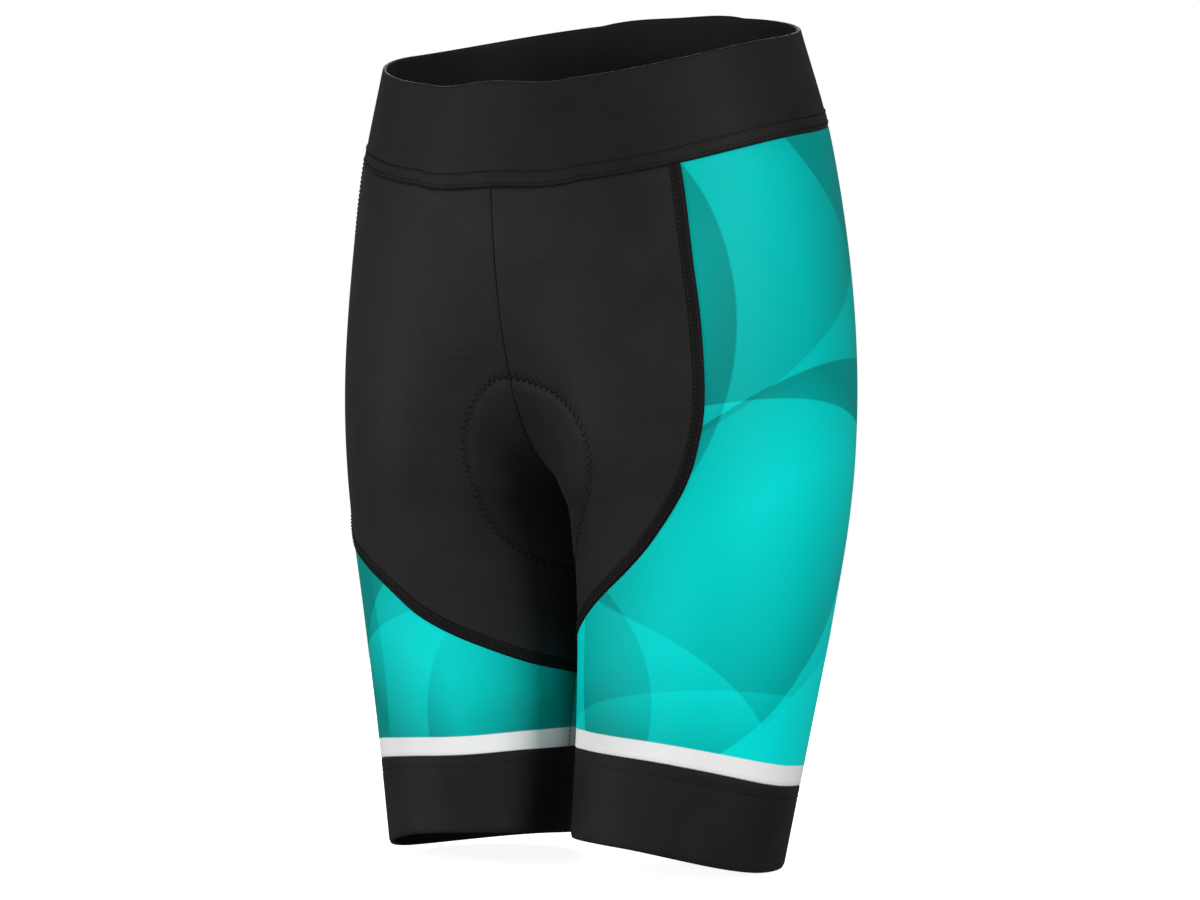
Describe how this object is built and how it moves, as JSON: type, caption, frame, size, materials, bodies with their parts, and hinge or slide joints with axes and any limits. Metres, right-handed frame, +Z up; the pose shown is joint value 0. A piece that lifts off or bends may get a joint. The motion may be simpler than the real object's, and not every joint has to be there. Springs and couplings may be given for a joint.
{
  "type": "cycling shorts",
  "caption": "Knee-short stretch cycling shorts, filled out with no wearer: wide waistband, black front and back panels, wrap-round side panels and leg bands.",
  "frame": {"origin": "inside the waistband on the garment's middle plane, 22 mm under the top edge at the centre front, where the wearer's waist holds the garment", "axes": "+Z up, -Y toward the front, +X toward the wearer's left"},
  "size_m": [0.3126, 0.2213, 0.5013],
  "materials": {
    "black_knit": "matte knitted polyamide-elastane",
    "teal_knit": "printed knitted polyamide-elastane with a slight sheen",
    "black_elastic": "matte brushed elastic knit"
  },
  "bodies": {
    "root": {"waistband": "black_elastic", "front_panel_left": "black_knit", "front_panel_right": "black_knit", "back_panel_left": "black_knit", "back_panel_right": "black_knit", "side_panel_left": "teal_knit", "side_panel_right": "teal_knit", "leg_band_left": "black_elastic", "leg_band_right": "black_elastic"}
  },
  "joints": []
}
